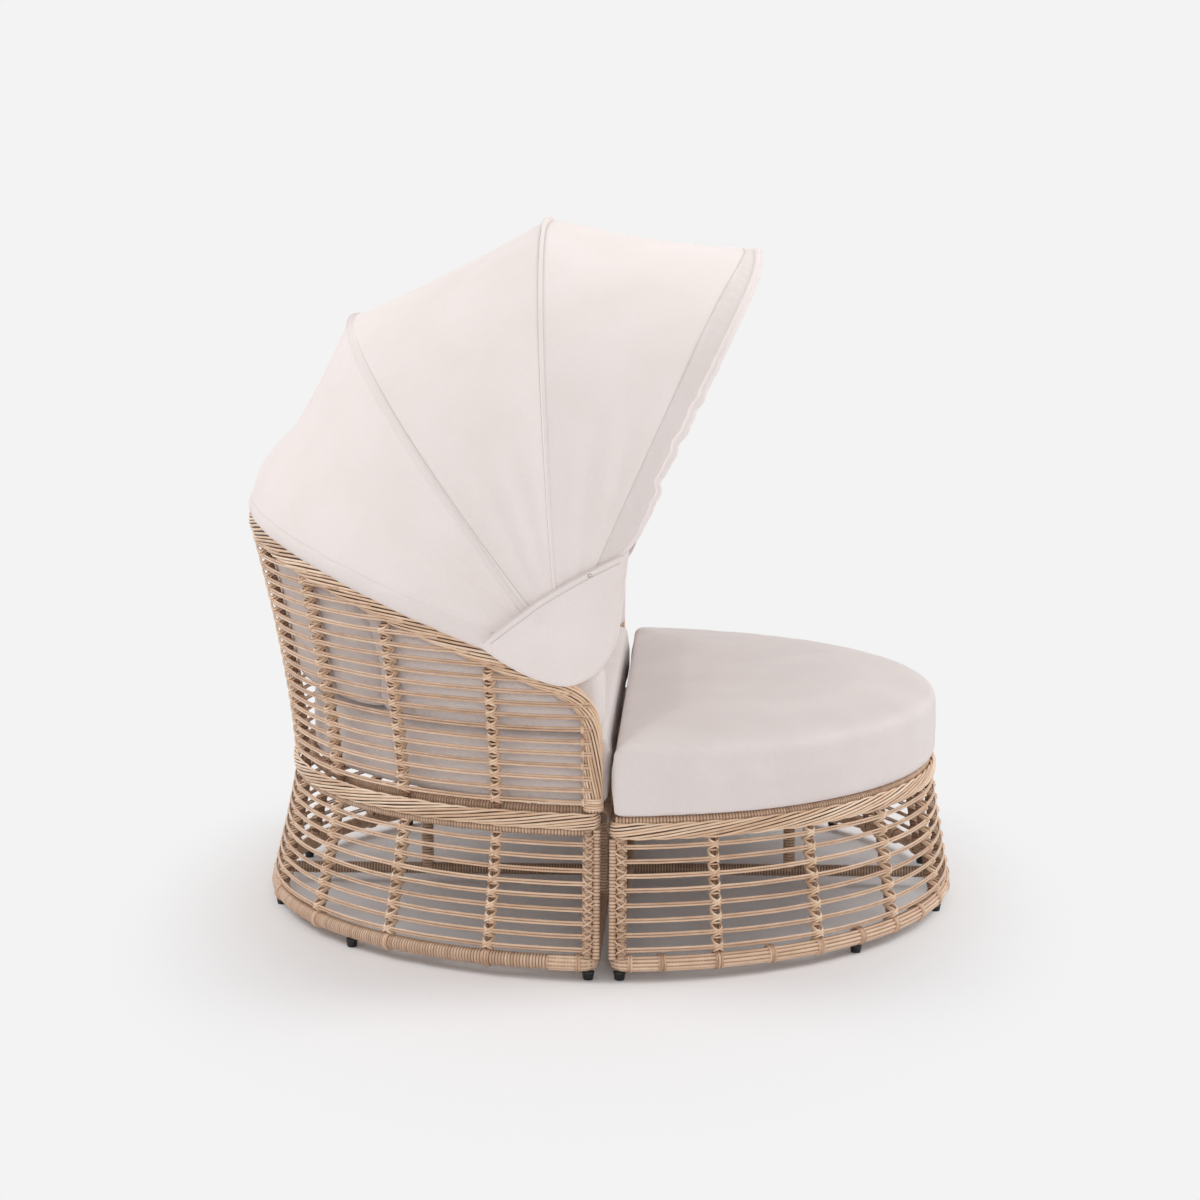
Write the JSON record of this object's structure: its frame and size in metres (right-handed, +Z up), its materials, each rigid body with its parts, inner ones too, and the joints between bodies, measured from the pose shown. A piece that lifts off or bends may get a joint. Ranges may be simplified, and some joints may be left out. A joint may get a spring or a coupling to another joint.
{
  "type": "daybed with canopy",
  "caption": "Round outdoor daybed in woven cane: a sofa half with a folding fabric canopy and a matching footstool half, both with thick loose cushions.",
  "frame": {"origin": "on the floor under the middle of the part's bounding box", "axes": "+Z up; -Y towards the front, where the footstool half stands; +X to the sitter's left"},
  "size_m": [1.4958, 1.5302, 1.4726],
  "materials": {
    "frame_tube": "wrapped in flat dark brown strand",
    "cane": "round synthetic cane, satin",
    "braid": "braided synthetic strand, satin",
    "foot_plastic": "moulded, fine grain",
    "cushion_fabric": "plain woven outdoor cloth",
    "bow_tube": "brushed",
    "canopy_fabric": "plain woven outdoor cloth"
  },
  "bodies": {
    "sofa": {"sofa_floor_ring": "frame_tube", "sofa_frame": "frame_tube", "sofa_base_canes": "cane", "sofa_base_rim": "braid", "back_weave": "braid", "sofa_foot_1": "foot_plastic", "sofa_foot_2": "foot_plastic", "sofa_foot_3": "foot_plastic", "sofa_foot_4": "foot_plastic", "sofa_foot_5": "foot_plastic", "sofa_foot_6": "foot_plastic", "canopy_bracket_left": "bow_tube", "canopy_bracket_right": "bow_tube", "pivot_pin_left": "bow_tube", "pivot_pin_right": "bow_tube", "hinge_cover_left": "canopy_fabric", "hinge_cover_right": "canopy_fabric", "rear_bow": "bow_tube"},
    "footstool": {"footstool_floor_ring": "frame_tube", "footstool_frame": "frame_tube", "footstool_canes": "cane", "footstool_rim": "braid", "footstool_foot_1": "foot_plastic", "footstool_foot_2": "foot_plastic", "footstool_foot_3": "foot_plastic", "footstool_foot_4": "foot_plastic", "footstool_foot_5": "foot_plastic", "footstool_foot_6": "foot_plastic"},
    "footstool_cushion": {"footstool_cushion": "cushion_fabric"},
    "seat_cushion": {"sofa_seat_cushion": "cushion_fabric"},
    "left_arm_cushion": {"left_arm_cushion": "cushion_fabric"},
    "left_back_cushion": {"left_back_cushion": "cushion_fabric"},
    "right_back_cushion": {"right_back_cushion": "cushion_fabric"},
    "right_arm_cushion": {"right_arm_cushion": "cushion_fabric"},
    "second_bow": {"second_bow": "bow_tube", "canopy_rear_panel": "canopy_fabric"},
    "third_bow": {"third_bow": "bow_tube", "canopy_middle_panel": "canopy_fabric"},
    "front_bow": {"front_bow": "bow_tube", "canopy_front_panel": "canopy_fabric"}
  },
  "joints": [
    {"name": "canopy_fold", "type": "hinge", "parent": "sofa", "child": "second_bow", "pos_m": [0, 0.04921, 0.637], "axis": [-1, 0, 0], "range_deg": [0, 27.1], "deforming": ["canopy_rear_panel"]},
    {"name": "third_bow_fold", "type": "hinge", "parent": "second_bow", "child": "third_bow", "pos_m": [0, 0.04921, 0.637], "axis": [-1, 0, 0], "range_deg": [0, 28.2], "deforming": ["canopy_middle_panel"]},
    {"name": "front_bow_fold", "type": "hinge", "parent": "third_bow", "child": "front_bow", "pos_m": [0, 0.04921, 0.637], "axis": [-1, 0, 0], "range_deg": [0, 23.9], "deforming": ["canopy_front_panel"]},
    {"name": "footstool_slide", "type": "slide", "parent": "sofa", "child": "footstool", "axis": [0, -1, 0], "range_m": [0, 0.5]},
    {"name": "footstool_cushion_lift", "type": "slide", "parent": "footstool", "child": "footstool_cushion", "axis": [0, 0, 1], "range_m": [0, 0.3]},
    {"name": "seat_cushion_lift", "type": "slide", "parent": "sofa", "child": "seat_cushion", "axis": [0, 0, 1], "range_m": [0, 0.05]},
    {"name": "left_arm_cushion_lift", "type": "slide", "parent": "seat_cushion", "child": "left_arm_cushion", "axis": [0, 0, 1], "range_m": [0, 0.05]},
    {"name": "left_back_cushion_lift", "type": "slide", "parent": "seat_cushion", "child": "left_back_cushion", "axis": [0, 0, 1], "range_m": [0, 0.05]},
    {"name": "right_back_cushion_lift", "type": "slide", "parent": "seat_cushion", "child": "right_back_cushion", "axis": [0, 0, 1], "range_m": [0, 0.05]},
    {"name": "right_arm_cushion_lift", "type": "slide", "parent": "seat_cushion", "child": "right_arm_cushion", "axis": [0, 0, 1], "range_m": [0, 0.05]}
  ],
  "couplings": [
    {"joint": "third_bow_fold", "follows": "canopy_fold", "ratio": 1.04},
    {"joint": "front_bow_fold", "follows": "canopy_fold", "ratio": 0.8815}
  ]
}
